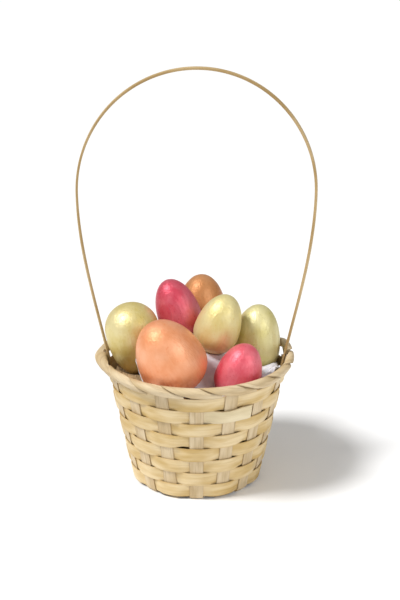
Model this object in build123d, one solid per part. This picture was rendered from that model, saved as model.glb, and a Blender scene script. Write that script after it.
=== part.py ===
from build123d import *
import os
from math import asin, atan2, cos, pi, radians, sin, tan

# A small chip basket woven from flat bamboo strips, with a tall bentwood handle and a
# clutch of seven painted eggs on a napkin over loose wadding. Millimetres, +Z up,
# the origin at the middle of the base on the surface it stands on, the front at -Y.

# ---- driving dimensions ----
base_radius = 61.0          # middle of the wall strips, at the floor
rim_radius = 87.5           # middle of the wall strips, at the top of the rim
wall_height = 128.0         # floor to the top of the folded rim
handle_height = 402.0       # floor to the top of the handle
handle_spread = 112.0       # half width of the handle, at its shoulders
shoulder_height = 285.0     # where the legs turn into the arch
handle_width = 7.0
handle_thickness = 2.0
handle_tip_height = 61.0    # how far down inside the wall the handle's ends reach

stake_width = 12.0
strip_thickness = 0.8
strip_gap = 0.25            # air left between strips that pass over each other
stake_pairs = 8             # each crosses the base and stands up twice
base_gap = 3.0              # between neighbouring strips in the base weave
base_turn = 11.25           # bearing of the base weave
base_bend = 2.6             # radius of the turn from base to wall
row_count = 8
row_gap = 0.6               # daylight between one weaver row and the next
row_trim = 1.0              # how far a row's inner cut runs past its edges
ring_points = 16            # points on a weaver's line, for each stake pair
fold_radius = 3.5           # the loop where a stake turns over at the rim
fold_slant = 35.0           # slope of that fold
fold_lead = 0.6             # how far below the fold an upright's last flat cut lies
tail_gap = 1.6              # between a tail's end and the next loop
tail_rise = 2.6             # the tail's level above the start of the fold
# the tail: share of its run, drop, how far out in fold radii, slope in degrees
tail_route = ((0.0, 0.4, 1.86, 20), (0.4, 2.0, 1.55, 14), (0.75, 3.0, 1.2, 9), (1.0, 3.5, 1.0, 6))
tail_lead = 0.9             # where the tail starts past the fold, in half stake widths

napkin_thickness = 0.8
wadding_drop = 14.0         # from the rim down to the wadding beside the wall
soft_gap = 0.3              # between soft pieces, and round each egg
wall_gap = 0.5              # between the lining and the wall's innermost strip
egg_wall_gap = 3.4          # from the middle of the wall strips to the nearest egg
under_trim = 1.0            # how far the cut under the napkin runs past its edge
crossing_run = 0.3          # how far a strip stays level past the strip that it crosses
bulge_room = 0.15           # more air beside the handle, where a weaver passes behind it

# ---- values that follow ----
stake_step = 360.0 / (2 * stake_pairs)
wall_slope = (rim_radius - base_radius) / wall_height
wall_lean = atan2(rim_radius - base_radius, wall_height)
fold_angle = radians(fold_slant)
half_strip = strip_thickness / 2
half_stake = stake_width / 2
base_pitch = stake_width + base_gap
fold_reach = half_stake / cos(fold_angle)       # half the fold's own length
rim_pitch = radians(stake_step) * rim_radius


def wall_radius(z):
    return base_radius + wall_slope * z


def rise_at(turn):
    """How far the raised corner of the fold stands above its start, at one angle of the turn."""
    along = (fold_radius * turn * tan(fold_angle) + fold_reach) * sin(fold_angle)
    over = fold_radius * sin(turn) * cos(fold_angle)
    out = fold_radius * (1 - cos(turn))
    return (along + over) * cos(wall_lean) - out * sin(wall_lean)


fold_steps = [pi * k / 6 for k in range(7)]
fold_height = wall_height - half_strip - max(rise_at(turn) for turn in fold_steps)
rows_top = fold_height - half_stake * tan(fold_angle)
bend_end = pi / 2 - wall_lean
rows_start = half_strip + base_bend + strip_gap
row_pitch = (rows_top - rows_start + row_gap) / row_count
row_width = row_pitch - row_gap
handle_rows = [row for row in range(0, row_count, 2)
               if rows_start + row * row_pitch + row_width > handle_tip_height]
handle_inset = half_strip + strip_gap + handle_thickness / 2
handle_bulge = handle_thickness + strip_gap + bulge_room


def row_wave(z):
    """How far a weaver swings in and out, so that it clears the flat stakes' edges."""
    radius = wall_radius(z)
    half_turn = asin(half_stake / radius)
    sag = radius * (1 - cos(half_turn))
    return (strip_thickness + strip_gap + sag) / cos(stake_pairs * half_turn)


lining_inset = row_wave(rows_start + 4 * row_pitch) + handle_bulge + half_strip + wall_gap


# ---- directions on the wall ----
def wall_frame(bearing):
    """Tangent, up the wall, and outward, at a bearing in radians."""
    radial = Vector(cos(bearing), sin(bearing), 0)
    tangent = Vector(-sin(bearing), cos(bearing), 0)
    up = radial * sin(wall_lean) + Vector(0, 0, cos(wall_lean))
    outward = radial * cos(wall_lean) - Vector(0, 0, sin(wall_lean))
    return radial, tangent, up, outward


def section(centre, across, normal):
    """One cut through a strip: its middle, half its width and half its thickness."""
    corners = [centre + across + normal, centre - across + normal,
               centre - across - normal, centre + across - normal]
    return Wire.make_polygon(corners, close=True)


# ---- stakes ----
def base_sections(family_angle, offset, line):
    """The woven part of a stake, from the middle of the base outwards."""
    along = Vector(cos(family_angle), sin(family_angle), 0)
    side = Vector(-sin(family_angle), cos(family_angle), 0)
    cuts = []
    for crossing in (0, 1):
        raised = (line + crossing) % 2
        level = half_strip + raised * (strip_thickness + strip_gap)
        for edge in (-1, 1):
            reach = (crossing + 0.5) * base_pitch + edge * (half_stake + crossing_run)
            centre = along * reach + side * offset + Vector(0, 0, level)
            cuts.append((centre, side * half_stake, Vector(0, 0, half_strip)))
    return cuts


def bend_sections(bearing):
    """The turn from the base up into the wall."""
    radial, tangent, _, _ = wall_frame(bearing)
    end_height = half_strip + base_bend * (1 - cos(bend_end))
    start_radius = wall_radius(end_height) - base_bend * sin(bend_end)
    cuts = []
    for step in range(4):
        turn = bend_end * step / 3
        centre = (radial * (start_radius + base_bend * sin(turn))
                  + Vector(0, 0, half_strip + base_bend * (1 - cos(turn))))
        normal = Vector(0, 0, cos(turn)) - radial * sin(turn)
        cuts.append((centre, tangent * half_stake, normal * half_strip))
    return cuts


def fold_sections(bearing):
    """The upright's top, the loop over the rim, and the tail that runs on outside it."""
    radial, tangent, up, outward = wall_frame(bearing)
    entry = radial * wall_radius(fold_height) + Vector(0, 0, fold_height)
    crease = tangent * cos(fold_angle) + up * sin(fold_angle)
    over = up * cos(fold_angle) - tangent * sin(fold_angle)
    below = half_stake * tan(fold_angle) + fold_lead
    cuts = [(entry - up * below, tangent * half_stake, outward * -half_strip)]
    for turn in fold_steps:
        centre = (entry + crease * (fold_radius * turn * tan(fold_angle))
                  + over * (fold_radius * sin(turn)) + outward * (fold_radius * (1 - cos(turn))))
        normal = over * sin(turn) - outward * cos(turn)
        cuts.append((centre, crease * fold_reach, normal * half_strip))
    start = fold_radius * pi * tan(fold_angle) * cos(fold_angle) + half_stake * tail_lead
    end = rim_pitch - half_stake - tail_gap
    for share, drop, out, slope in tail_route:
        run = start + (end - start) * share
        way, side, rise, out_here = wall_frame(bearing + run / rim_radius)
        height = fold_height + tail_rise - drop
        centre = way * (wall_radius(height) + out * fold_radius) + Vector(0, 0, height)
        across = side * sin(radians(slope)) + rise * cos(radians(slope))
        cuts.append((centre, across * half_stake, out_here * half_strip))
    return cuts


def half_stake_sections(family_angle, offset, line, bearing):
    return base_sections(family_angle, offset, line) + bend_sections(bearing) + fold_sections(bearing)


def make_stake(family, line):
    """A strip that rises at one side, crosses the woven base and rises at the other."""
    family_angle = radians(base_turn + 90 * family)
    place = line - 1.5
    offset = place * base_pitch
    near = half_stake_sections(family_angle, offset, line,
                               family_angle + radians(place * stake_step))
    far = half_stake_sections(family_angle + pi, -offset, line + 1,
                              family_angle + pi - radians(place * stake_step))
    cuts = [(centre, across * -1, normal) for centre, across, normal in reversed(far)] + near
    return Solid.make_loft([section(*cut) for cut in cuts], ruled=True)


# ---- weaver rows ----
def ring_edge(z, row, offset):
    """A closed line round the wall that swings in and out past the stakes."""
    swing = row_wave(rows_start + row * row_pitch) * (1 if row % 2 else -1)
    steps = ring_points * stake_pairs
    points = []
    for step in range(steps):
        turn = 2 * pi * step / steps
        reach = wall_radius(z) + swing * cos(stake_pairs * turn) + offset
        beside = min(turn % pi, pi - turn % pi)
        if row in handle_rows and beside < radians(stake_step):
            reach -= handle_bulge * (1 + cos(stake_pairs * turn)) / 2
        points.append((reach * cos(turn), reach * sin(turn), z))
    return Edge.make_spline(points, periodic=True)


def make_row(row):
    low = rows_start + row * row_pitch
    high = low + row_width
    shell = []
    for offset, extra in ((half_strip, 0), (-half_strip, row_trim)):
        wires = [Wire([ring_edge(z, row, offset)]) for z in (low - extra, high + extra)]
        shell.append(Solid.make_loft(wires, ruled=True))
    return shell[0] - shell[1]


# ---- handle ----
def handle_side(side):
    """One long edge of the handle, side being +1 outside or -1 inside."""
    shift = side * handle_thickness / 2
    normal = Vector(cos(wall_lean), -sin(wall_lean))
    climb = Vector(sin(wall_lean), cos(wall_lean))
    tip = Vector(wall_radius(handle_tip_height) - handle_inset, handle_tip_height) + normal * shift
    rim = Vector(wall_radius(wall_height) - handle_inset, wall_height) + normal * shift
    shoulder = Vector(handle_spread - handle_thickness / 2 + shift, shoulder_height)
    arch_rise = handle_height - handle_thickness / 2 - shoulder_height + shift
    leg = Line(tip, rim)
    flare = Spline([rim, shoulder], tangents=[climb, Vector(0, 1)])
    arch = EllipticalCenterArc((0, shoulder_height), shoulder.X, arch_rise, arc_size=180)
    flip = [mirror(part, about=Plane.YZ) for part in (flare, leg)]
    return [leg, flare, arch] + flip, tip


def make_handle():
    outer, outer_tip = handle_side(1)
    inner, inner_tip = handle_side(-1)
    ends = [Line(outer_tip, inner_tip)]
    ends.append(mirror(ends[0], about=Plane.YZ))
    outline = make_face(Curve() + outer + inner + ends)
    return extrude(Plane.XZ * outline, handle_width / 2, both=True)


# ---- eggs ----
# place of the middle, length, width, and the way the narrow end points; the lengths are
# shares of the room inside the rim, because the clutch is chosen to fill the basket
clutch_radius = rim_radius - egg_wall_gap
wadding_height = wall_height - wadding_drop
# the heap in the wadding's top, under the back eggs, in the same shares
mound_radius, mound_height = 0.571 * clutch_radius, 0.262 * clutch_radius
mound_back, mound_left = 0.214 * clutch_radius, 0.036 * clutch_radius
eggs = {
    "egg_orange_front": ((-0.304, -0.578, 0.166), 0.892, 0.761, (-0.42, -0.12, 0.88)),
    "egg_pink_front": ((0.478, -0.549, -0.031), 0.678, 0.517, (0.30, 0.0, 0.95)),
    "egg_olive_left": ((-0.721, -0.025, 0.159), 0.856, 0.615, (0.11, 0.0, -0.99)),
    "egg_olive_right": ((0.690, 0.183, 0.076), 0.832, 0.577, (0.10, 0.0, 0.99)),
    "egg_pale_yellow": ((0.258, -0.064, 0.356), 0.713, 0.523, (0.32, 0.0, 0.95)),
    "egg_pink_back": ((-0.227, 0.262, 0.428), 0.713, 0.505, (-0.33, 0.0, 0.94)),
    "egg_orange_back": ((0.063, 0.751, 0.260), 0.809, 0.595, (0.0, 0.0, 1.0)),
}
egg_taper = 0.15            # how far towards the blunt end the widest part lies
round_pull = 0.5523         # the pull that makes a Bezier curve a quarter of an ellipse


def make_egg(name, grow=0.0):
    """An egg, or the room round it when it is grown on every side."""
    place, length, width, point = eggs[name]
    half_length = length * clutch_radius / 2 + grow
    half_width = width * clutch_radius / 2 + grow
    belly = -egg_taper * length * clutch_radius / 2
    tip, heel = half_length - belly, half_length + belly
    narrow = Bezier((half_width, belly), (half_width, belly + tip * round_pull),
                    (half_width * round_pull, half_length), (0, half_length))
    blunt = Bezier((0, -half_length), (half_width * round_pull, -half_length),
                   (half_width, belly - heel * round_pull), (half_width, belly))
    axis = Line((0, -half_length), (0, half_length))
    body = revolve(Plane.XZ * make_face(Curve() + [blunt, narrow, axis]), Axis.Z)
    east, north, above = (share * clutch_radius for share in place)
    middle = Vector(east, north, wall_height + above)
    return Plane(origin=middle, z_dir=Vector(*point)) * body


# ---- napkin and wadding ----
def heap(raise_by, wider=0.0):
    """The wadding's outer shape, with its top raised for what lies on it."""
    floor = 2 * strip_thickness + strip_gap + soft_gap
    top = wadding_height + raise_by
    low_radius = wall_radius(floor) - lining_inset - base_bend + wider
    cone = Solid.make_cone(low_radius, wall_radius(top) - lining_inset + wider, top - floor,
                           Plane(origin=(0, 0, floor)))
    foot, peak = mound_radius + raise_by, mound_height + raise_by
    crown = Bezier((foot, 0), (foot, peak * round_pull), (foot * round_pull, peak), (0, peak))
    sides = [Line((0, peak), (0, 0)), Line((0, 0), (foot, 0))]
    mound = revolve(Plane.XZ * make_face(Curve() + [crown] + sides), Axis.Z)
    return cone + Pos(-mound_left, mound_back, wadding_height) * mound


def pockets(shape, grow):
    for name in eggs:
        shape = shape - make_egg(name, grow)
    return shape


def make_wadding():
    return pockets(heap(0), 2 * soft_gap + napkin_thickness)


def make_napkin():
    cover = pockets(heap(soft_gap + napkin_thickness), soft_gap)
    under = pockets(heap(soft_gap, under_trim), soft_gap + napkin_thickness)
    return cover - under


# ---- write the parts ----
def save(name, shape):
    shape.label = name
    export_step(shape, f"parts/{name}.step")


os.makedirs("parts", exist_ok=True)
for pair in range(stake_pairs):
    save(f"stake_{pair + 1}", make_stake(pair // 4, pair % 4))
for row in range(row_count):
    save(f"weaver_row_{row + 1}", make_row(row))
save("handle", make_handle())
save("wadding", make_wadding())
save("napkin", make_napkin())
for name in eggs:
    save(name, make_egg(name))
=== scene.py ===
from math import atan2, cos, exp, pi, radians, sin, sqrt, tanh

import bmesh
import bpy
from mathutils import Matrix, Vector, noise
from mathutils.bvhtree import BVHTree


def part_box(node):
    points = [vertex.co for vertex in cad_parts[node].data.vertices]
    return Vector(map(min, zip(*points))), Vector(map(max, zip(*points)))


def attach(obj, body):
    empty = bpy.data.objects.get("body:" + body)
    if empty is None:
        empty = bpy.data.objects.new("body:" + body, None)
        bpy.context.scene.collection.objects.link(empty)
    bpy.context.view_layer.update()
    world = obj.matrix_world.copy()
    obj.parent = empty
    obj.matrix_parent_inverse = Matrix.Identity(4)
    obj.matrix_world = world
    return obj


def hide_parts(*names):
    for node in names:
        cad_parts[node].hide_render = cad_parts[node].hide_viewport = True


# A chip basket woven from flat bamboo strips, with a bentwood handle, and seven pearl
# painted eggs on a napkin. Lengths are millimetres until finishPiece turns them to metres.
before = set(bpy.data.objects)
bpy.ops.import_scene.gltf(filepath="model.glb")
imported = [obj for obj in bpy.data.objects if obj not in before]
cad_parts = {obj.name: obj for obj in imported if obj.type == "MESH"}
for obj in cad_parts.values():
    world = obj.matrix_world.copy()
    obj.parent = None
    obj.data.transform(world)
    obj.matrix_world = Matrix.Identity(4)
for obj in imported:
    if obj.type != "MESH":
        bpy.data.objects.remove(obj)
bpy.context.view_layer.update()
mm = 0.001
boxes = {node: [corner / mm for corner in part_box(node)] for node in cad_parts}


def nodeBox(node):
    return boxes[node]


def smoothStep(low, high, value):
    share = min(max((value - low) / (high - low), 0), 1)
    return share * share * (3 - 2 * share)


def between(first, second, share):
    return first + (second - first) * share


def wander(place, seed, size):
    # a smooth random value from about -1 to 1
    return noise.noise(Vector((place / size, seed * 7.31, seed * 1.7 + 0.5)))


def apart(first, second):
    # the turn from one bearing to another, at most half a turn either way
    return (first - second + pi) % (2 * pi) - pi


def onCircle(radius, bearing, z):
    return Vector((radius * cos(bearing), radius * sin(bearing), z))


def hermite(start, startWay, end, endWay, share):
    # a point on a curve between two places, and the way it heads there
    a, b = share * share, share * share * share
    point = (start * (2 * b - 3 * a + 1) + startWay * (b - 2 * a + share)
             + end * (3 * a - 2 * b) + endWay * (b - a))
    way = (start * (6 * a - 6 * share) + startWay * (3 * a - 4 * share + 1)
           + end * (6 * share - 6 * a) + endWay * (3 * a - 2 * share))
    return point, way.normalized()


class Tone:
    # a socket that can be added, multiplied and mixed like a number
    def __init__(self, tree, socket=None):
        self.tree = tree
        self.socket = socket

    def node(self, kind, settings=None, inputs=None, out=0):
        made = self.tree.nodes.new(kind)
        for key, value in (settings or {}).items():
            setattr(made, key, value)
        for key, value in (inputs or {}).items():
            if isinstance(value, Tone):
                self.tree.links.new(value.socket, made.inputs[key])
            else:
                made.inputs[key].default_value = value
        return Tone(self.tree, made.outputs[out])

    def maths(self, operation, first, second=0.0):
        return self.node("ShaderNodeMath", {"operation": operation}, {0: first, 1: second})

    def __add__(self, other):
        return self.maths("ADD", self, other)

    def __sub__(self, other):
        return self.maths("SUBTRACT", self, other)

    def __rsub__(self, other):
        return self.maths("SUBTRACT", other, self)

    def __mul__(self, other):
        return self.maths("MULTIPLY", self, other)

    __radd__ = __add__
    __rmul__ = __mul__

    def clip(self, low, high):
        # 0 at low, 1 at high, straight between
        return self.node("ShaderNodeMapRange", {"clamp": True},
                         {"Value": self, "From Min": low, "From Max": high})

    def pick(self, first, second):
        # the first colour where this is 0, the second where it is 1
        return self.node("ShaderNodeMix", {"data_type": "RGBA"}, {0: self, 6: first, 7: second}, 2)


def startMaterial(name, fixed):
    material = bpy.data.materials.new(name)
    material.use_nodes = True
    shader = material.node_tree.nodes["Principled BSDF"]
    for socket, value in fixed.items():
        shader.inputs[socket].default_value = value
    return material, Tone(material.node_tree), shader


def feed(shader, tones):
    for socket, tone in tones.items():
        tone.tree.links.new(tone.socket, shader.inputs[socket])


def stretched(root, source, size, turn=(0, 0, 0), shift=(0, 0, 0)):
    return root.node("ShaderNodeMapping", {},
                     {"Vector": source, "Scale": size, "Rotation": turn, "Location": shift})


def noiseOn(root, place, scale, detail=2.0, rough=0.5):
    return root.node("ShaderNodeTexNoise", {},
                     {"Vector": place, "Scale": scale, "Detail": detail, "Roughness": rough})


def bumpFrom(root, height, distance, strength):
    return root.node("ShaderNodeBump", {},
                     {"Height": height, "Distance": distance, "Strength": strength})


# each cane's colours, how strong its dark streaks are and how strong its fine fibres
weaverLook = dict(pale=(0.78, 0.625, 0.37, 1), deep=(0.60, 0.42, 0.165, 1),
                  streak=(0.38, 0.225, 0.07, 1), streaks=0.46, grain=0.22)
stakeLook = dict(pale=(0.72, 0.585, 0.38, 1), deep=(0.56, 0.42, 0.23, 1),
                 streak=(0.28, 0.175, 0.08, 1), streaks=0.62, grain=0.32)
paleLook = dict(pale=(0.78, 0.67, 0.45, 1), deep=(0.68, 0.565, 0.345, 1),
                streak=(0.46, 0.33, 0.17, 1), streaks=0.25, grain=0.16)
handleLook = dict(pale=(0.62, 0.46, 0.235, 1), deep=(0.47, 0.32, 0.13, 1),
                  streak=(0.24, 0.14, 0.05, 1), streaks=0.40, grain=0.18)
# how often each mark comes in a metre, along the strip and across it
caneMarks = dict(broad=(24, 75, 1), streaks=(12, 430, 1), fibres=(60, 3200, 1), flecks=(240, 1500, 1))
# where across the strip its edges start and finish turning darker, as shares of half its width, and how
# dark they get
caneEdge = dict(starts=0.86, ends=1.02, darkerEdges=0.42)
caneBump = dict(distance=0.00035, strength=0.55)


def makeBamboo(name, look, halfWidth):
    # fibres run along the strip: u is metres along it and v metres across it
    material, root, shader = startMaterial(name, {"Specular IOR Level": 0.35})
    along = root.node("ShaderNodeUVMap", {"uv_map": "strip"})
    broad = noiseOn(root, stretched(root, along, caneMarks["broad"]), 1, 2)
    streaks = noiseOn(root, stretched(root, along, caneMarks["streaks"]), 1, 4, 0.65)
    fibres = noiseOn(root, stretched(root, along, caneMarks["fibres"]), 1, 2, 0.7)
    flecks = noiseOn(root, stretched(root, along, caneMarks["flecks"]), 1, 1)
    across = root.node("ShaderNodeSeparateXYZ", {}, {0: along}, 1)
    edge = root.maths("ABSOLUTE", across).clip(halfWidth * caneEdge["starts"] * mm,
                                               halfWidth * caneEdge["ends"] * mm)
    base = broad.clip(0.38, 0.62).pick(look["pale"], look["deep"])
    lined = (streaks.clip(0.52, 0.78) * look["streaks"]).pick(base, look["streak"])
    marks = (fibres.clip(0.45, 0.75) * look["grain"]) + flecks.clip(0.66, 0.78) * 0.10
    grained = marks.pick(lined, look["streak"])
    # each strip turns darker towards its two long edges
    darkerEdges = (edge * caneEdge["darkerEdges"]).pick(grained, look["streak"])
    height = fibres * 0.5 + streaks
    feed(shader, {"Base Color": darkerEdges, "Roughness": streaks * 0.25 + 0.42,
                  "Normal": bumpFrom(root, height, caneBump["distance"], caneBump["strength"])})
    return material


def finishPiece(shape, name, body, material, replaced, thickness=0, bevel=0):
    # a mesh in millimetres becomes a piece in metres that stands for a node
    bmesh.ops.scale(shape, vec=(mm, mm, mm), verts=shape.verts)
    mesh = bpy.data.meshes.new(name)
    shape.to_mesh(mesh)
    shape.free()
    mesh.polygons.foreach_set("use_smooth", [True] * len(mesh.polygons))
    mesh.materials.append(material)
    piece = bpy.data.objects.new(name, mesh)
    bpy.context.scene.collection.objects.link(piece)
    if thickness:
        wall = piece.modifiers.new("thickness", "SOLIDIFY")
        wall.thickness = thickness * mm
        wall.offset = 0
    if bevel:
        edges = piece.modifiers.new("edges", "BEVEL")
        edges.width = bevel * mm
        edges.segments = 2
        edges.limit_method = "ANGLE"
        edges.angle_limit = radians(50)
        edges.harden_normals = True
    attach(piece, body)
    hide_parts(replaced)
    return piece


def layStrip(length, halfWidth, cellsAcross, cellLength, place, offset):
    # a flat grid carried onto its route by place(along, across)
    strip = bmesh.new()
    cells = int(length / cellLength)
    bmesh.ops.create_grid(strip, x_segments=cells, y_segments=cellsAcross, size=1)
    layer = strip.loops.layers.uv.get("strip") or strip.loops.layers.uv.new("strip")
    for face in strip.faces:
        for loop in face.loops:
            spot = loop.vert.co
            loop[layer].uv = ((spot.x + 1) / 2 * length * mm + offset, spot.y * halfWidth * mm)
    for vert in strip.verts:
        vert.co = place((vert.co.x + 1) / 2 * length, vert.co.y * halfWidth)
    return strip


# the wall is a cone, read from two of its rows: wallRadius is its middle at a height
wallSkin = 1.92                    # from the middle of the wall to a row's outer face
lowRow, highRow = nodeBox("weaver_row_2")[1], nodeBox("weaver_row_8")[1]
wallSlope = (highRow.x - lowRow.x) / (highRow.z - lowRow.z)
wallLean = atan2(highRow.x - lowRow.x, highRow.z - lowRow.z)
rowNames = [name for name in sorted(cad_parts) if name.startswith("weaver_row_")]
stakeNames = [name for name in sorted(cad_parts) if name.startswith("stake_")]
uprights = 2 * len(stakeNames)
step = 2 * pi / uprights
rimTop = nodeBox("stake_1")[1].z


def wallRadius(z):
    return highRow.x - wallSkin + wallSlope * (z - highRow.z)


# swing is how far a row passes in and out, and the lap is where its two ends overlap
weaver = dict(halfWidth=7.1, thickness=0.9, bevel=0.22, cell=1.7, across=8, swing=1.35,
              sharpness=1.6, lapTurn=radians(33), lapFade=0.1, lapGap=0.95, endFree=(0.07, 0.16),
              handleBulge=2.3, crown=0.18, waver=0.26, waverWave=55, unevenWidth=0.2 / 7,
              widthWave=40, grainShift=3.37)
# where each row's outer end lies, in degrees from +X; the seventh shows at the front
rowEnds = {1: 127.8, 2: 60.3, 3: 82.8, 4: 105.3, 5: 37.8, 6: 150.3, 7: -52.2, 8: 15.3}
paleEnd = dict(row=7, length=52)   # the stretch of the seventh row that is cut from paler cane
# places where a row is pinched narrow and shows the dark inside: row, degrees, spread, mm, edge
pinches = [(7, -70, 7, 1.5, 1), (6, -67, 5, 1.6, -1), (5, -55, 5, 1.7, -1), (6, -40, 5, 1.8, -1),
           (4, -65, 5, 1.4, -1), (3, -52, 6, 1.1, -1), (5, -100, 6, 0.8, -1), (4, 40, 7, 1.5, -1),
           (6, 150, 7, 1.4, -1), (3, 200, 7, 1.3, -1), (5, 260, 6, 1.5, -1)]


def rowSwing(row, bearing):
    # from -1, inside the upright, to 1, outside it
    side = 1 if row % 2 == 0 else -1
    return side * tanh(weaver["sharpness"] * cos(uprights / 2 * bearing)) / tanh(weaver["sharpness"])


def layRow(row):
    low, high = nodeBox(f"weaver_row_{row}")
    middle = (low.z + high.z) / 2
    end = radians(rowEnds[row])
    start = end - 2 * pi - weaver["lapTurn"]
    radius = wallRadius(middle)
    length = (end - start) * radius
    lapEnd = weaver["lapTurn"] + weaver["lapFade"]
    besideHandle = row % 2 == 1 and high.z > nodeBox("handle")[0].z

    def place(along, across):
        bearing = start + along / radius
        free = 1 - smoothStep(*weaver["endFree"], end - bearing)
        swing = between(rowSwing(row, bearing), 1, free)
        reach = swing * weaver["swing"]
        under = 1 - smoothStep(weaver["lapTurn"], lapEnd, bearing - start)
        over = 1 - smoothStep(weaver["lapTurn"], lapEnd, end - bearing)
        reach += weaver["lapGap"] * (over * (1 + swing) - under * (1 - swing)) / 2
        side = abs((bearing + pi / 2) % pi - pi / 2)
        if besideHandle and side < step:
            reach -= weaver["handleBulge"] * (1 + cos(uprights / 2 * side)) / 2
        width = 1 + weaver["unevenWidth"] * wander(along, row, weaver["widthWave"])
        lift = weaver["waver"] * wander(along, row + 20, weaver["waverWave"])
        share = across / weaver["halfWidth"]
        for pinchedRow, degrees, spread, amount, edge in pinches:
            if pinchedRow == row:
                near = exp(-(apart(bearing, radians(degrees)) / radians(spread)) ** 2)
                lift -= edge * amount * max(edge * share, 0) * near
        z = middle + across * width + lift
        reach += weaver["crown"] * (1 - share * share)
        return onCircle(wallRadius(z) + reach, bearing, z)

    return layStrip(length, weaver["halfWidth"], weaver["across"], weaver["cell"], place,
                    row * weaver["grainShift"])


def paleTheEnd(piece):
    # the last stretch of this row has the second material
    piece.data.materials.append(makeBamboo("paleBamboo", paleLook, weaver["halfWidth"]))
    layer = piece.data.uv_layers["strip"].data
    last = max(spot.uv.x for spot in layer) - paleEnd["length"] * mm
    for face in piece.data.polygons:
        face.material_index = int(layer[face.loop_start].uv.x > last)


weaverBamboo = makeBamboo("weaverBamboo", weaverLook, weaver["halfWidth"])
for row in range(1, len(rowNames) + 1):
    piece = finishPiece(layRow(row), f"weaverStrip{row}", "basket", weaverBamboo,
                        f"weaver_row_{row}", weaver["thickness"], weaver["bevel"])
    if row == paleEnd["row"]:
        paleTheEnd(piece)
print("weaver rows laid")

# a stake runs from the woven base up the wall and over the rim, the same way at both ends
stake = dict(halfWidth=6.5, thickness=0.9, bevel=0.22, cell=1.7, across=8, pitch=15.0,
             baseTurn=radians(11.25), straight=26.0, low=0.46, rise=1.05, bend=4.5,
             weaveEdge=6, weaveEnds=(28, 36), unevenWidth=0.035, widthWave=45,
             grainStart=31, grainShift=2.71)
# a tail is tucked under the next band: how far on, along which slope, and over what length
rim = dict(roll=3.6, border=-15.0, tailOut=2.75, tailDrop=1.7, tailSlope=0.82, drape=2,
           tuckPast=2, bandLow=0.6, bandSlope=0.456, tuckAlong=(-9, 8), tuckUp=(-5, 0))
# the folded top, unrolled: millimetres along the rim, up over its crest, and the heading
rimRoute = [(0, -15, 90), (7, -5.2, 38), (16, -0.6, 24), (28, 4.0, 19), (40, 6.0, 4), (56, 6.0, -1)]
# where the border's loops stand open: degrees, spread, how much wider
rimLoose = [(184, 13, 0.55), (100, 14, 0.3), (20, 10, 0.25), (-120, 12, 0.15)]
rollCentre = rimTop - rim["roll"] - stake["thickness"] / 2
rimPitch = step * wallRadius(rollCentre)


def onRim(bearing, along, over):
    # carries an unrolled point of the border onto the rolled rim, or onto the wall below it
    quarter = rim["roll"] * pi / 2
    towards = bearing + along / wallRadius(rollCentre)
    puff = 1 + sum(more * exp(-(apart(towards, radians(degrees)) / radians(spread)) ** 2)
                   for degrees, spread, more in rimLoose)
    if over < -quarter:
        out, z = 0, rollCentre + over + quarter
    elif over < quarter:
        turn = over / rim["roll"] + pi / 2
        out, z = puff * rim["roll"] * (1 - cos(turn)), rollCentre + rim["roll"] * sin(turn)
    else:
        down = over - quarter
        sag = 0.5 * down * down / (down + rim["drape"])
        out, z = 2 * puff * rim["roll"] - sag, rollCentre - down
    base = wallRadius(min(z, rollCentre))
    loop = onCircle(base + out, bearing + along / base, z)
    past = along - (rimPitch + rim["tuckPast"] + (over - rim["bandLow"]) / rim["bandSlope"])
    share = smoothStep(*rim["tuckAlong"], past) * smoothStep(*rim["tuckUp"], over)
    if not share:
        return loop
    tailZ = rimTop - rim["tailDrop"] - rim["tailSlope"] * over
    tail = onCircle(wallRadius(rollCentre) + rim["tailOut"], bearing + along / base, tailZ)
    return loop.lerp(tail, share)


def stakeStretches(familyAngle, offset, bearing, sign):
    # the route's stretches, each its length and place(share, across)
    heading = Vector((cos(familyAngle), sin(familyAngle), 0))
    side = Vector((-sin(familyAngle), cos(familyAngle), 0))
    outward = Vector((cos(bearing), sin(bearing), 0))
    bendTurn = pi / 2 - wallLean
    bendTop = stake["low"] + stake["bend"] * (1 - cos(bendTurn))
    bendStart = wallRadius(bendTop) - stake["bend"] * sin(bendTurn)
    leave = heading * stake["straight"] + side * offset
    arrive = outward * bendStart
    chord = (arrive - leave).length
    wallTop = rollCentre + rim["border"] + rim["roll"] * pi / 2

    def level(along):
        weave = sign * tanh(stake["weaveEdge"] * sin(pi * along / stake["pitch"]))
        woven = stake["low"] + stake["rise"] * (1 + weave) / 2
        return between(woven, stake["low"], smoothStep(*stake["weaveEnds"], along))

    def overBase(share, across):
        along = share * stake["straight"]
        return heading * along + side * (offset + across) + Vector((0, 0, level(along)))

    def toWall(share, across):
        point, way = hermite(leave, heading * chord, arrive, outward * chord, share)
        along = stake["straight"] + share * chord
        return point + Vector((-way.y, way.x, 0)) * across + Vector((0, 0, level(along)))

    def upBend(share, across):
        turn = bendTurn * share
        reach = bendStart + stake["bend"] * sin(turn)
        return onCircle(reach, bearing + across / reach, stake["low"] + stake["bend"] * (1 - cos(turn)))

    def upWall(share, across):
        z = between(bendTop, wallTop, share)
        return onCircle(wallRadius(z), bearing + across / wallRadius(z), z)

    stretches = [(stake["straight"], overBase), (chord, toWall), (stake["bend"] * bendTurn, upBend),
                 ((wallTop - bendTop) / cos(wallLean), upWall)]
    for first, second in zip(rimRoute, rimRoute[1:]):
        start, end = Vector(first[:2]), Vector(second[:2])
        span = (end - start).length
        ways = [Vector((cos(radians(x[2])), sin(radians(x[2])))) * span for x in (first, second)]

        def overRim(share, across, start=start, end=end, ways=ways):
            point, way = hermite(start, ways[0], end, ways[1], share)
            return onRim(bearing, point.x + way.y * across, point.y - way.x * across)

        stretches.append((span, overRim))
    return stretches


def alongStretches(stretches, along, across):
    for length, place in stretches:
        if along <= length:
            return place(along / length, across)
        along -= length
    return stretches[-1][1](1, across)


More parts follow.
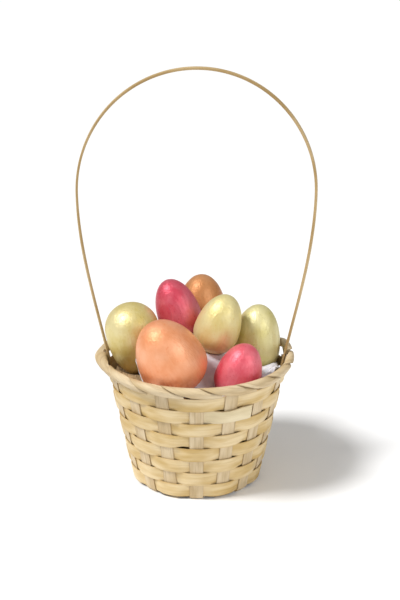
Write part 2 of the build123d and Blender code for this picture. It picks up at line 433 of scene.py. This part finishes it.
def layStake(number):
    # the stakes cross the base in two families of four
    inFamily = len(stakeNames) // 2
    family, line = number // inFamily, number % inFamily
    fromMiddle = line - (inFamily - 1) / 2
    familyAngle = stake["baseTurn"] + family * pi / 2
    slant = fromMiddle * step
    offset = fromMiddle * stake["pitch"]
    sign = 1 if line % 2 else -1
    near = stakeStretches(familyAngle, offset, familyAngle + slant, sign)
    far = stakeStretches(familyAngle + pi, -offset, familyAngle + pi - slant, -sign)
    half = sum(length for length, _ in near)

    def place(along, across):
        across *= 1 + stake["unevenWidth"] * wander(along, number + 40, stake["widthWave"])
        if along >= half:
            return alongStretches(near, along - half, across)
        return alongStretches(far, half - along, -across)

    return layStrip(2 * half, stake["halfWidth"], stake["across"], stake["cell"], place,
                    stake["grainStart"] + number * stake["grainShift"])


stakeBamboo = makeBamboo("stakeBamboo", stakeLook, stake["halfWidth"])
for number in range(len(stakeNames)):
    finishPiece(layStake(number), f"stakeStrip{number + 1}", "basket", stakeBamboo,
                f"stake_{number + 1}", stake["thickness"], stake["bevel"])
print("stakes laid")

# the handle runs up inside the wall, flares out to its shoulders and turns over in an arch
handle = dict(halfWidth=3.4, thickness=2.2, bevel=0.5, cell=2.0, across=4, inset=1.65,
              shoulder=285.0, rimHeight=128.0, flareExtra=1.005, bow=0.12, waver=0.35,
              waverWave=90, steadyEnd=60, grainStart=71)
# turn of the splint about its own line, in degrees, at shares of its length from the left end
handleTwist = [(0, -16), (0.2, -15), (0.33, -2), (0.5, 0), (0.67, -9), (0.8, -16), (1, -16)]


def handleStretches():
    low, high = nodeBox("handle")
    half = handle["thickness"] / 2
    tip = Vector((wallRadius(low.z) - handle["inset"], low.z))
    edge = Vector((wallRadius(handle["rimHeight"]) - handle["inset"], handle["rimHeight"]))
    shoulder = Vector((high.x - half, handle["shoulder"]))
    rise = high.z - half - handle["shoulder"]
    flare = (shoulder - edge).length
    climb = Vector((sin(wallLean), cos(wallLean)))

    def leg(share):
        return tip.lerp(edge, share), climb

    def upFlare(share):
        return hermite(edge, climb * flare, shoulder, Vector((0, flare)), share)

    def arch(share):
        turn = share * pi / 2
        point = Vector((shoulder.x * cos(turn), shoulder.y + rise * sin(turn)))
        return point, Vector((-shoulder.x * sin(turn), rise * cos(turn))).normalized()

    arc = (shoulder.x + rise) / 2 * pi / 2
    return [((edge - tip).length, leg), (flare * handle["flareExtra"], upFlare), (arc, arch)]


def twistAt(share):
    for (start, first), (end, second) in zip(handleTwist, handleTwist[1:]):
        if share <= end:
            return radians(between(first, second, smoothStep(start, end, share)))
    return radians(handleTwist[-1][1])


def layHandle():
    stretches = handleStretches()
    half = sum(length for length, _ in stretches)

    def place(along, across):
        left = along < half
        rest = along if left else 2 * half - along
        for length, route in stretches:
            if rest <= length:
                break
            rest -= length
        point, way = route(min(rest / length, 1))
        side = -1 if left else 1
        inward = Vector((way.y * -side, 0, way.x))
        middle = Vector((side * point.x, 0, point.y))
        turn = twistAt(along / (2 * half))
        share = across / handle["halfWidth"]
        bow = handle["bow"] * (1 - share * share)
        acrossWay = Vector((0, cos(turn), 0)) + inward * sin(turn)
        fromEnd = min(along, 2 * half - along)
        waver = handle["waver"] * wander(along, 77, handle["waverWave"])
        waver *= smoothStep(0, handle["steadyEnd"], fromEnd)
        return middle + acrossWay * across + inward * (waver - bow)

    return layStrip(2 * half, handle["halfWidth"], handle["across"], handle["cell"], place,
                    handle["grainStart"])


handleBamboo = makeBamboo("handleBamboo", handleLook, handle["halfWidth"])
finishPiece(layHandle(), "handleSplint", "basket", handleBamboo, "handle",
            handle["thickness"], handle["bevel"])
print("handle bent")

# the way each egg's narrow end points, and its colours: the middle one, a darker one painted on as shade
# towards the bottom and used for the specks, and the brushed one
eggs = {
    "egg_orange_front": dict(lean=(-0.42, -0.12, 0.88), slot="pearl_peach", seed=1,
                             paint=((0.80, 0.30, 0.125, 1), (0.80, 0.17, 0.03, 1), (0.90, 0.44, 0.25, 1))),
    "egg_pink_front": dict(lean=(0.30, 0, 0.95), slot="pearl_raspberry", seed=2,
                           paint=((0.66, 0.065, 0.10, 1), (0.50, 0.015, 0.03, 1), (0.82, 0.21, 0.25, 1))),
    "egg_olive_left": dict(lean=(0.11, 0, -0.99), slot="pearl_olive", seed=3,
                           paint=((0.64, 0.51, 0.15, 1), (0.52, 0.33, 0.05, 1), (0.76, 0.66, 0.34, 1))),
    "egg_olive_right": dict(lean=(0.10, 0, 0.99), slot="pearl_olive", seed=4,
                            paint=((0.62, 0.55, 0.19, 1), (0.42, 0.34, 0.05, 1), (0.76, 0.70, 0.38, 1))),
    "egg_pale_yellow": dict(lean=(0.32, 0, 0.95), slot="pearl_pale_yellow", seed=5,
                            paint=((0.70, 0.58, 0.23, 1), (0.70, 0.40, 0.08, 1), (0.78, 0.70, 0.38, 1))),
    "egg_pink_back": dict(lean=(-0.33, 0, 0.94), slot="pearl_raspberry", seed=6,
                          paint=((0.62, 0.06, 0.10, 1), (0.46, 0.015, 0.03, 1), (0.76, 0.19, 0.24, 1))),
    "egg_orange_back": dict(lean=(0, 0, 1), slot="pearl_terracotta", seed=7,
                            paint=((0.56, 0.22, 0.065, 1), (0.42, 0.14, 0.03, 1), (0.66, 0.31, 0.13, 1))),
}
eggShape = dict(around=64, rings=48, taper=0.15, dent=0.16, dentSize=2.2)
# how often each mark of the paint comes in a metre; strokes are long along the egg
paintMarks = dict(mottle=42, strokes=(420, 420, 62), specks=620)
paintShare = dict(shade=0.55, strokes=0.40, specks=0.55)
eggBump = dict(distance=0.0009, strength=0.65)


def makePearl(name, egg, middle):
    # brushed pearl paint: broad mottling, strokes along the egg and fine specks, with painted shade that
    # darkens the egg from about its middle down
    settings = {"Coat Roughness": 0.30, "Coat IOR": 1.4, "Coat Weight": 0.12, "Specular IOR Level": 0.4}
    material, root, shader = startMaterial(name, settings)
    body, shade, brushed = egg["paint"]
    where = root.node("ShaderNodeTexCoord", {}, {}, 3)
    centred = root.node("ShaderNodeVectorMath", {"operation": "SUBTRACT"},
                        {0: where, 1: tuple(middle * mm)})
    lean = Vector(egg["lean"]).rotation_difference(Vector((0, 0, 1))).to_euler()
    upright = stretched(root, centred, (1, 1, 1), tuple(lean), (egg["seed"] * 0.31, 0, 0))
    mottle = noiseOn(root, upright, paintMarks["mottle"], 3, 0.55)
    strokes = noiseOn(root, stretched(root, upright, paintMarks["strokes"]), 1, 3, 0.65)
    specks = noiseOn(root, upright, paintMarks["specks"], 1)
    low = root.node("ShaderNodeSeparateXYZ", {}, {0: centred}, 2)
    base = mottle.clip(0.36, 0.66).pick(body, brushed)
    # painted shade: the colour darkens from a little above the egg's middle towards its bottom
    deep = ((low * -1).clip(-0.004, 0.030) * paintShare["shade"]).pick(base, shade)
    streaked = (strokes.clip(0.50, 0.74) * paintShare["strokes"]).pick(deep, brushed)
    speckled = (specks.clip(0.70, 0.76) * paintShare["specks"]).pick(streaked, shade)
    height = strokes + specks * 0.25
    feed(shader, {"Base Color": speckled, "Roughness": strokes * 0.20 + 0.33,
                  "Metallic": mottle * 0.25 + 0.20,
                  "Normal": bumpFrom(root, height, eggBump["distance"], eggBump["strength"])})
    return material


def layEgg(name, egg, around, rings):
    # an egg as long and as wide as its node, with the narrow end where lean points
    corners = [vert.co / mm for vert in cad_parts[name].data.vertices]
    lean = Vector(egg["lean"]).normalized()
    low, high = nodeBox(name)
    heights = [corner.dot(lean) for corner in corners]
    halfLength = (max(heights) - min(heights)) / 2
    middle = (low + high) / 2
    middle += lean * ((max(heights) + min(heights)) / 2 - middle.dot(lean))
    sideways = lean.orthogonal().normalized()
    second = lean.cross(sideways)
    spread = [[corner.dot(way) for corner in corners] for way in (sideways, second)]
    middle += sideways * ((max(spread[0]) + min(spread[0])) / 2 - middle.dot(sideways))
    middle += second * ((max(spread[1]) + min(spread[1])) / 2 - middle.dot(second))
    halfWidth = (max(spread[0]) - min(spread[0])) / 2
    belly = -2 * eggShape["taper"] * halfLength
    shape = bmesh.new()
    bmesh.ops.create_uvsphere(shape, u_segments=around, v_segments=rings, radius=1)
    for vert in shape.verts:
        spot = vert.co.copy()
        tall = halfLength - belly if spot.z > 0 else halfLength + belly
        bump = abs(noise.noise(spot * eggShape["dentSize"] + Vector((egg["seed"], 0, 0))))
        dent = 1 - eggShape["dent"] / halfWidth * bump
        vert.co = (middle + (sideways * spot.x + second * spot.y) * halfWidth * dent
                   + lean * (belly + spot.z * tall * dent))
    return shape, middle


for name, egg in eggs.items():
    shape, middle = layEgg(name, egg, eggShape["around"], eggShape["rings"])
    bmesh.ops.recalc_face_normals(shape, faces=shape.faces)
    finishPiece(shape, name.replace("egg_", "pearlEgg_"), name,
                makePearl(name.replace("egg_", "pearl_"), egg, middle), name)
print("eggs painted")

# shredded paper under the napkin; its hollows fade in between the two heights in top
wadding = dict(voxel=3.2, lumps=1.3, lumpSize=0.11, shred=0.7, shredSize=0.36, sink=1.0,
               top=(85, 108))
paperLook = dict(dark=(0.30, 0.19, 0.09, 1), pale=(0.60, 0.43, 0.25, 1),
                 strands=(90, 90, 900), strandsTurn=(0.6, 0.3, 0),
                 crossing=(900, 120, 120), crossingTurn=(0.2, 0.5, 0.9))
# hollows in its top between the eggs: place, how wide, how deep
hollows = [((13, -60), 17, 17), ((24, 38), 16, 8), ((-36, -28), 14, 8)]


def hollowAt(x, y):
    return sum(depth * exp(-((x - spot[0]) ** 2 + (y - spot[1]) ** 2) / wide ** 2)
               for spot, wide, depth in hollows)


def copyOfNode(node, name):
    # the CAD node's triangles, merged, as an object of its own
    shape = bmesh.new()
    shape.from_mesh(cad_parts[node].data)
    bmesh.ops.remove_doubles(shape, verts=shape.verts, dist=0.01 * mm)
    mesh = bpy.data.meshes.new(name)
    shape.to_mesh(mesh)
    shape.free()
    made = bpy.data.objects.new(name, mesh)
    bpy.context.scene.collection.objects.link(made)
    return made


def bakeModifiers(source):
    # a bmesh of the object as its modifiers leave it, and the object is gone
    shape = bmesh.new()
    shape.from_object(source, bpy.context.evaluated_depsgraph_get())
    bpy.data.objects.remove(source)
    return shape


def heapOfPaper(voxel):
    # the wadding in even cells, with its hollows pressed in
    source = copyOfNode("wadding", "waddingSource")
    remesh = source.modifiers.new("voxels", "REMESH")
    remesh.mode = "VOXEL"
    remesh.voxel_size = voxel * mm
    shape = bakeModifiers(source)
    bmesh.ops.scale(shape, vec=(1 / mm, 1 / mm, 1 / mm), verts=shape.verts)
    for vert in shape.verts:
        top = smoothStep(*wadding["top"], vert.co.z)
        vert.co.z -= hollowAt(vert.co.x, vert.co.y) * top
    shape.normal_update()
    return shape


def layWadding():
    shape = heapOfPaper(wadding["voxel"])
    floor = nodeBox("wadding")[0].z
    for vert in shape.verts:
        spot = vert.co
        lump = noise.noise(spot * wadding["lumpSize"]) * wadding["lumps"]
        lump += abs(noise.noise(spot * wadding["shredSize"])) * wadding["shred"]
        inward = wadding["sink"] + max(lump, 0)
        vert.co -= vert.normal * inward * smoothStep(0, 6, spot.z - floor + 1)
    return shape


def makeShreddedPaper():
    # two directions of strands, matt and mixed by a broad noise
    material, root, shader = startMaterial("shreddedPaper", {"Specular IOR Level": 0.2})
    where = root.node("ShaderNodeTexCoord", {}, {}, 3)
    strands, crossing = [
        noiseOn(root, stretched(root, where, paperLook[kind], paperLook[kind + "Turn"]), 1, 3, 0.6)
        for kind in ("strands", "crossing")]
    tint = noiseOn(root, where, 70, 2)
    mixed = tint.clip(0.35, 0.65).pick(strands, crossing)
    light = mixed.clip(0.36, 0.64).pick(paperLook["dark"], paperLook["pale"])
    feed(shader, {"Base Color": light, "Roughness": tint * 0.1 + 0.8,
                  "Normal": bumpFrom(root, mixed, 0.002, 0.8)})
    return material


filling = finishPiece(layWadding(), "paperWadding", "lining", makeShreddedPaper(),
                      "wadding")
print("wadding packed")

# the napkin is laid on the heap and then draped by cloth simulation
napkin = dict(radius=99.0, cells=76, thickness=0.5, edgeRise=13.0, riseStart=58.0, reach=81.5,
              above=0.7, march=1.0, rays=180, leastStep=0.2, spare=2, edgeInset=2,
              grow=10, frames=26, outer=0.35, mass=0.12, bend=0.12, pull=30, friction=12,
              damping=3, steps=7, contactSteps=4)
# the plain shapes that the cloth falls on
beneath = dict(eggAround=28, eggRings=20, heapVoxel=4.5, wallInset=3.2, wallAbove=30, wallSides=96)


def surfaceOf(node):
    shape = bmesh.new()
    shape.from_mesh(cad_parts[node].data)
    bmesh.ops.scale(shape, vec=(1 / mm, 1 / mm, 1 / mm), verts=shape.verts)
    tree = BVHTree.FromBMesh(shape)
    shape.free()
    return tree


def napkinStart():
    # how high the cloth begins over the wadding, at a place in plan
    tree = surfaceOf("wadding")
    edge = nodeBox("wadding")[1].x - napkin["edgeInset"]

    def height(x, y):
        reach = sqrt(x * x + y * y)
        scale = min(reach, edge) / reach if reach else 1
        hit = tree.ray_cast(Vector((x * scale, y * scale, 300)), Vector((0, 0, -1)))[0]
        rise = napkin["edgeRise"] * smoothStep(napkin["riseStart"], napkin["reach"], reach)
        ground = hit.z if hit else nodeBox("napkin")[0].z
        return ground - hollowAt(x, y) * smoothStep(*wadding["top"], ground) + napkin["above"] + rise

    return height


def drapedPlaces(flat):
    # walks each flat point out from the middle along the ground it lies on
    height = napkinStart()
    rays = napkin["rays"]
    table = []
    for ray in range(rays):
        bearing = 2 * pi * ray / rays
        reach, walked, last, steps = 0.0, 0.0, height(0, 0), [(0.0, 0.0)]
        while walked < napkin["radius"] + napkin["spare"]:
            reach = min(reach + napkin["march"], napkin["reach"])
            now = height(reach * cos(bearing), reach * sin(bearing))
            walked += max(sqrt(napkin["march"] ** 2 + (now - last) ** 2), napkin["leastStep"])
            last = now
            steps.append((walked, reach))
        table.append(steps)
    places = []
    for spot in flat:
        far, bearing = spot.length, atan2(spot.y, spot.x)
        steps = table[int(bearing / (2 * pi) * rays + rays) % rays]
        for (before, near), (after, beyond) in zip(steps, steps[1:]):
            if far <= after:
                reach = between(near, beyond, (far - before) / (after - before))
                break
        x, y = reach * cos(bearing), reach * sin(bearing)
        places.append(Vector((x, y, height(x, y))))
    return places


def roundedGrid():
    # a square grid pressed into a disc, so that the cloth is round
    shape = bmesh.new()
    bmesh.ops.create_grid(shape, x_segments=napkin["cells"], y_segments=napkin["cells"], size=1)
    for vert in shape.verts:
        x, y = vert.co.x, vert.co.y
        vert.co = Vector((x * sqrt(1 - y * y / 2), y * sqrt(1 - x * x / 2), 0)) * napkin["radius"]
    return shape


def addCollider(name, shape, size):
    bmesh.ops.scale(shape, vec=(size, size, size), verts=shape.verts)
    mesh = bpy.data.meshes.new(name)
    shape.to_mesh(mesh)
    shape.free()
    made = bpy.data.objects.new(name, mesh)
    bpy.context.scene.collection.objects.link(made)
    made.modifiers.new("collision", "COLLISION")
    made.collision.thickness_outer = napkin["outer"] * size
    made.collision.thickness_inner = napkin["outer"] * size
    made.collision.cloth_friction = napkin["friction"]
    return made


def settleNapkin(shape, size):
    # cloth simulated ten times larger, where the solver's smallest distances are fine enough
    flat = [vert.co.copy() for vert in shape.verts]
    draped = drapedPlaces(flat)
    mesh = bpy.data.meshes.new("napkinSource")
    shape.to_mesh(mesh)
    shape.free()
    source = bpy.data.objects.new("napkinSource", mesh)
    bpy.context.scene.collection.objects.link(source)
    for vert, place in zip(mesh.vertices, draped):
        vert.co = place * size
    source.shape_key_add(name="Basis")
    cut = source.shape_key_add(name="flat")
    for point, place in zip(cut.data, flat):
        point.co = place * size
    colliders = []
    for name, egg in eggs.items():
        solid = layEgg(name, egg, beneath["eggAround"], beneath["eggRings"])[0]
        bmesh.ops.recalc_face_normals(solid, faces=solid.faces)
        colliders.append(addCollider(name + "Collider", solid, size))
    colliders.append(addCollider("heapCollider", heapOfPaper(beneath["heapVoxel"]), size))
    wall = bmesh.new()
    low, high = nodeBox("wadding")[0].z, rimTop + beneath["wallAbove"]
    bmesh.ops.create_cone(wall, cap_ends=False, segments=beneath["wallSides"], depth=high - low,
                          radius1=wallRadius(low) - beneath["wallInset"],
                          radius2=wallRadius(high) - beneath["wallInset"])
    bmesh.ops.translate(wall, vec=(0, 0, (low + high) / 2), verts=wall.verts)
    bmesh.ops.reverse_faces(wall, faces=wall.faces)
    colliders.append(addCollider("wallCollider", wall, size))
    cloth = source.modifiers.new("cloth", "CLOTH")
    settings = cloth.settings
    settings.quality = napkin["steps"]
    settings.mass = napkin["mass"]
    settings.air_damping = napkin["damping"]
    settings.tension_stiffness = settings.compression_stiffness = napkin["pull"]
    settings.shear_stiffness = napkin["pull"] / 3
    settings.bending_stiffness = napkin["bend"]
    settings.rest_shape_key = cut
    contact = cloth.collision_settings
    contact.collision_quality = napkin["contactSteps"]
    contact.distance_min = napkin["outer"] * size
    contact.use_self_collision = True
    contact.self_distance_min = napkin["outer"] * size
    cloth.point_cache.frame_end = napkin["frames"]
    scene = bpy.context.scene
    for count in range(1, napkin["frames"] + 1):
        scene.frame_set(count)
    settled = bakeModifiers(source)
    scene.frame_set(1)
    for made in colliders:
        bpy.data.objects.remove(made)
    bmesh.ops.scale(settled, vec=(1 / size, 1 / size, 1 / size), verts=settled.verts)
    return settled


clothLook = dict(threads=900, waver=0.6, slubs=160, dim=(0.80, 0.79, 0.85, 1),
                 bright=(0.88, 0.87, 0.91, 1), between=(0.70, 0.69, 0.76, 1))


def makeCloth():
    # thin white cloth: its two thread directions follow the flat sheet
    settings = {"Sheen Weight": 0.25, "Sheen Roughness": 0.5, "Specular IOR Level": 0.2}
    material, root, shader = startMaterial("napkinCloth", settings)
    flat = root.node("ShaderNodeUVMap", {"uv_map": "flat"})
    warp, weft = [root.node("ShaderNodeTexWave", {"wave_type": "BANDS", "bands_direction": way},
                            {"Vector": flat, "Scale": clothLook["threads"],
                             "Distortion": clothLook["waver"]}, 1)
                  for way in ("X", "Y")]
    slub = noiseOn(root, flat, clothLook["slubs"], 2)
    threads = warp + weft
    tint = slub.clip(0.3, 0.7).pick(clothLook["dim"], clothLook["bright"])
    shaded = (threads.clip(0.2, 1.2) * 0.14).pick(tint, clothLook["between"])
    feed(shader, {"Base Color": shaded, "Roughness": slub * 0.1 + 0.8,
                  "Normal": bumpFrom(root, threads, 0.0002, 0.4)})
    return material


shape = roundedGrid()
layer = shape.loops.layers.uv.get("flat") or shape.loops.layers.uv.new("flat")
for face in shape.faces:
    for loop in face.loops:
        loop[layer].uv = (loop.vert.co.x * mm, loop.vert.co.y * mm)
cloth = finishPiece(settleNapkin(shape, mm * napkin["grow"]), "drapedNapkin", "lining",
                    makeCloth(), "napkin", napkin["thickness"])
print("napkin settled")

# floor, light and camera, in metres
studio = dict(floor=4.0, target=(0, 0, 0.19), distance=1.25, elevation=radians(19.5), lens=79,
              shift=(3.5 / 600, -10 / 600))
keyLight = dict(way=(-1.0, -0.40, 1.45), strength=3.0, spread=radians(17))
fillLight = dict(place=(0.85, -0.85, 0.75), target=(0, 0, 0.14), size=(0.30, 0.7), power=5.5)
# the world lights the basket less than it shows behind it, so that the ground stays white
backdrop = dict(light=0.32, seenMore=0.75)


def makeFloor():
    material, root, shader = startMaterial("paleFloor", {"Roughness": 0.9, "Specular IOR Level": 0.1})
    where = root.node("ShaderNodeTexCoord", {}, {}, 3)
    pale = noiseOn(root, where, 3, 1).pick((0.95, 0.95, 0.95, 1), (0.96, 0.96, 0.96, 1))
    feed(shader, {"Base Color": pale})
    shape = bmesh.new()
    bmesh.ops.create_grid(shape, x_segments=1, y_segments=1, size=studio["floor"])
    mesh = bpy.data.meshes.new("floor")
    shape.to_mesh(mesh)
    shape.free()
    mesh.materials.append(material)
    floor = bpy.data.objects.new("floor", mesh)
    bpy.context.scene.collection.objects.link(floor)


def addSun():
    lamp = bpy.data.lights.new("keyLight", "SUN")
    lamp.energy = keyLight["strength"]
    lamp.angle = keyLight["spread"]
    light = bpy.data.objects.new("keyLight", lamp)
    light.rotation_euler = Vector(keyLight["way"]).to_track_quat("Z", "Y").to_euler()
    bpy.context.scene.collection.objects.link(light)


def addFill():
    lamp = bpy.data.lights.new("fillBox", "AREA")
    lamp.shape = "RECTANGLE"
    lamp.size, lamp.size_y = fillLight["size"]
    lamp.energy = fillLight["power"]
    light = bpy.data.objects.new("fillBox", lamp)
    light.location = fillLight["place"]
    way = Vector(fillLight["target"]) - Vector(fillLight["place"])
    light.rotation_euler = way.to_track_quat("-Z", "Y").to_euler()
    bpy.context.scene.collection.objects.link(light)


makeFloor()
addSun()
addFill()
world = bpy.data.worlds.new("studio")
world.use_nodes = True
bpy.context.scene.world = world
sky = Tone(world.node_tree)
seen = sky.node("ShaderNodeLightPath", {}, {}, 0)
strength = seen * backdrop["seenMore"] + backdrop["light"]
background = world.node_tree.nodes["Background"]
world.node_tree.links.new(strength.socket, background.inputs["Strength"])
background.inputs["Color"].default_value = (1, 1, 1, 1)

camera = bpy.data.cameras.new("camera")
camera.lens = studio["lens"]
camera.shift_x, camera.shift_y = studio["shift"]
viewer = bpy.data.objects.new("camera", camera)
back, up = cos(studio["elevation"]), sin(studio["elevation"])
viewer.location = Vector(studio["target"]) + Vector((0, -back, up)) * studio["distance"]
viewer.rotation_euler = (pi / 2 - studio["elevation"], 0, 0)
bpy.context.scene.collection.objects.link(viewer)
bpy.context.scene.camera = viewer
bpy.context.scene.view_settings.view_transform = "Standard"
print("studio ready")
